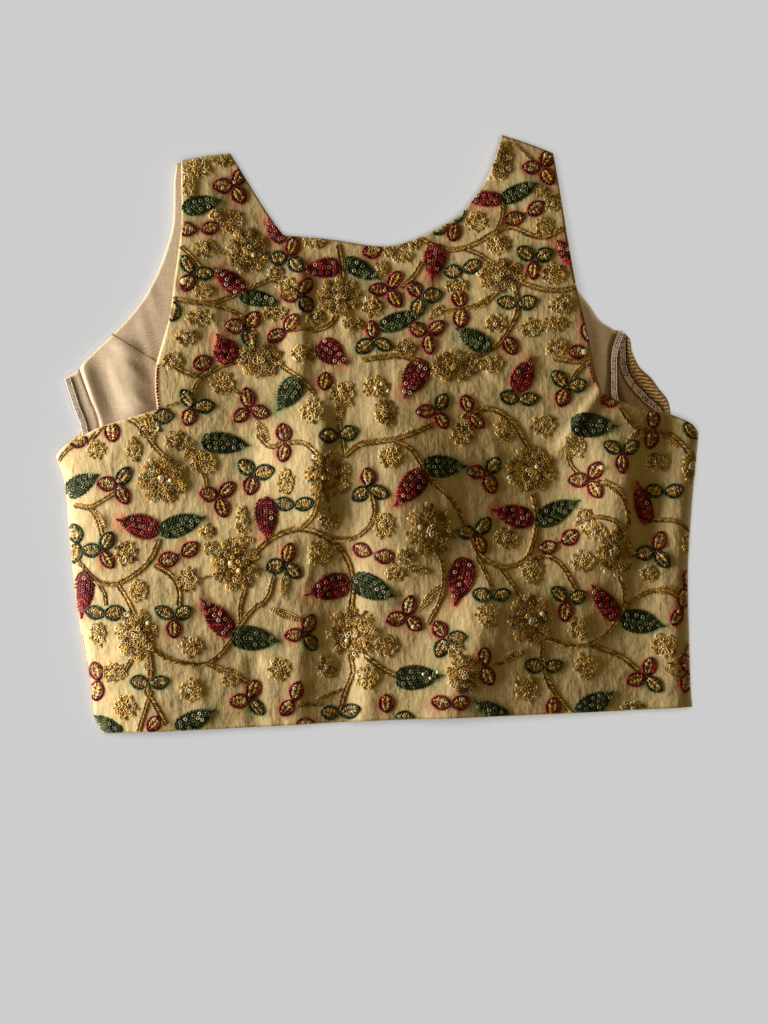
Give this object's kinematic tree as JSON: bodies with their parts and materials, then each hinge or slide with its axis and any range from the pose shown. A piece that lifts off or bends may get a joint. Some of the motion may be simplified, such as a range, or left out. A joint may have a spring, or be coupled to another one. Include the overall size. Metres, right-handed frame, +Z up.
{
  "type": "sleeveless blouse",
  "caption": "Short sleeveless blouse with wide straps and a rounded neck, laid flat on its back with the front up.",
  "frame": {"origin": "middle of the outline on the surface that the back rests on", "axes": "+X across the blouse to the right of a viewer who looks down at the front, +Y from the hem to the neck, +Z up out of the front"},
  "size_m": [0.4334, 0.3906, 0.014],
  "materials": {
    "embroidered_silk": "slubbed raw silk with a soft sheen, embroidered all over",
    "embroidered_silk_back": "slubbed raw silk with a soft sheen, embroidered all over",
    "cotton_lining": "matte fine plain weave",
    "overlocked_cotton": "matte plain weave with a white overlocked edge",
    "overlock_thread": "pale lilac-white overlock threads",
    "silk_wrong_side": "wrong side of raw silk with a pale overlocked edge",
    "ribbed_gold": "gold cloth with fine cross ribs"
  },
  "bodies": {
    "root": {"front": "embroidered_silk", "back": "embroidered_silk_back", "back_lining": "cotton_lining", "left_side_allowance": "overlocked_cotton", "right_back_allowance": "overlock_thread", "right_front_allowance": "silk_wrong_side", "right_ribbed_edge": "ribbed_gold"}
  },
  "joints": []
}
